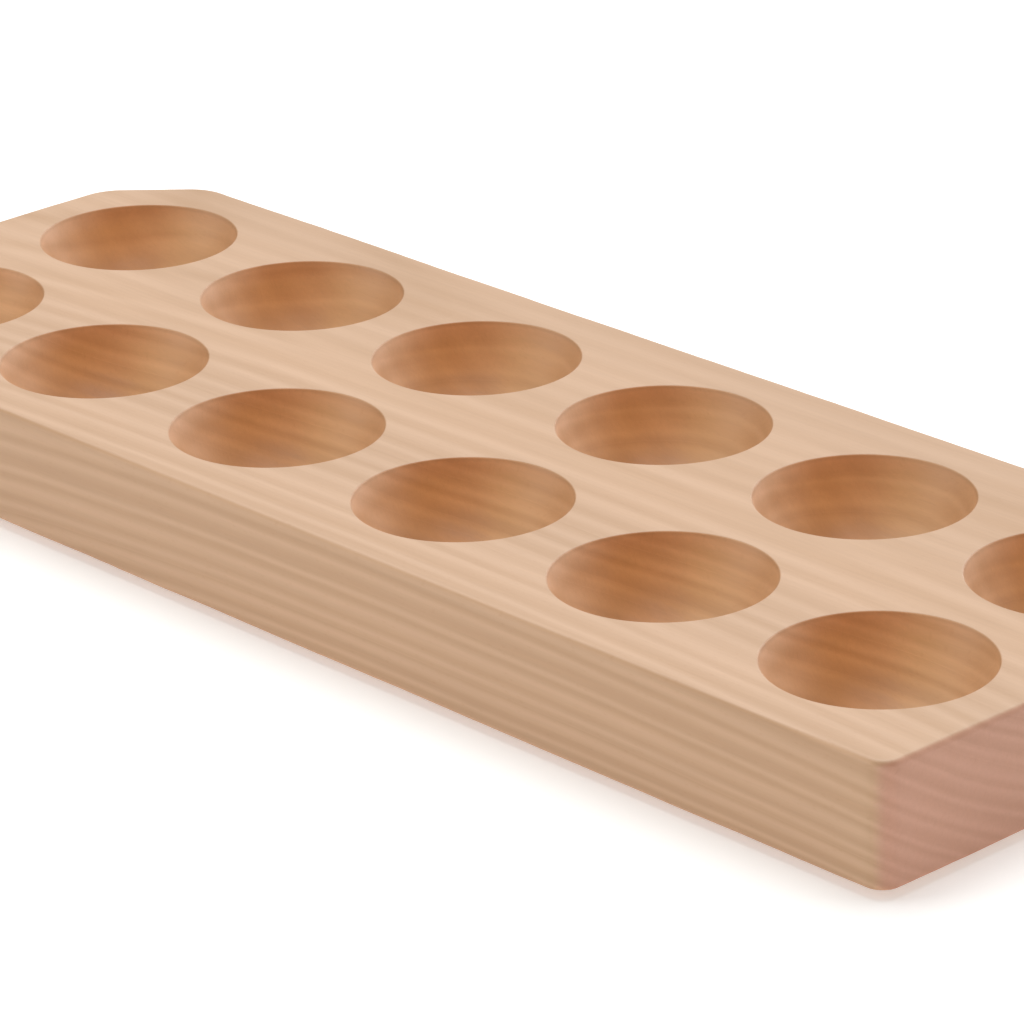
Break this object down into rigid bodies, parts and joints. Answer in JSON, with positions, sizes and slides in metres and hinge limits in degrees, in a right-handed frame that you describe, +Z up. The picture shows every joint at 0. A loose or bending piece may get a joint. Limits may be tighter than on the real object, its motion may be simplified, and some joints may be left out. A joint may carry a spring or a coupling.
{
  "type": "egg tray",
  "caption": "Rectangular solid wood tray with rows of round, ball-shaped cups cut into its top that hold eggs upright, standing on small soft pads under its corners.",
  "frame": {"origin": "on the surface the tray stands on, under the middle of the board (bottom centre of the bounding box)", "axes": "+X along the rows of cups, towards the end with the square corners; -Y is the front long face; +Z up out of the cups"},
  "size_m": [0.312, 0.11, 0.0245],
  "materials": {
    "hardwood": "sanded smooth, satin, unstained pale hardwood",
    "silicone": "matt, slightly cloudy"
  },
  "bodies": {
    "root": {"tray_board": "hardwood", "pad_front_left": "silicone", "pad_front_right": "silicone", "pad_back_left": "silicone", "pad_back_right": "silicone"}
  },
  "joints": []
}
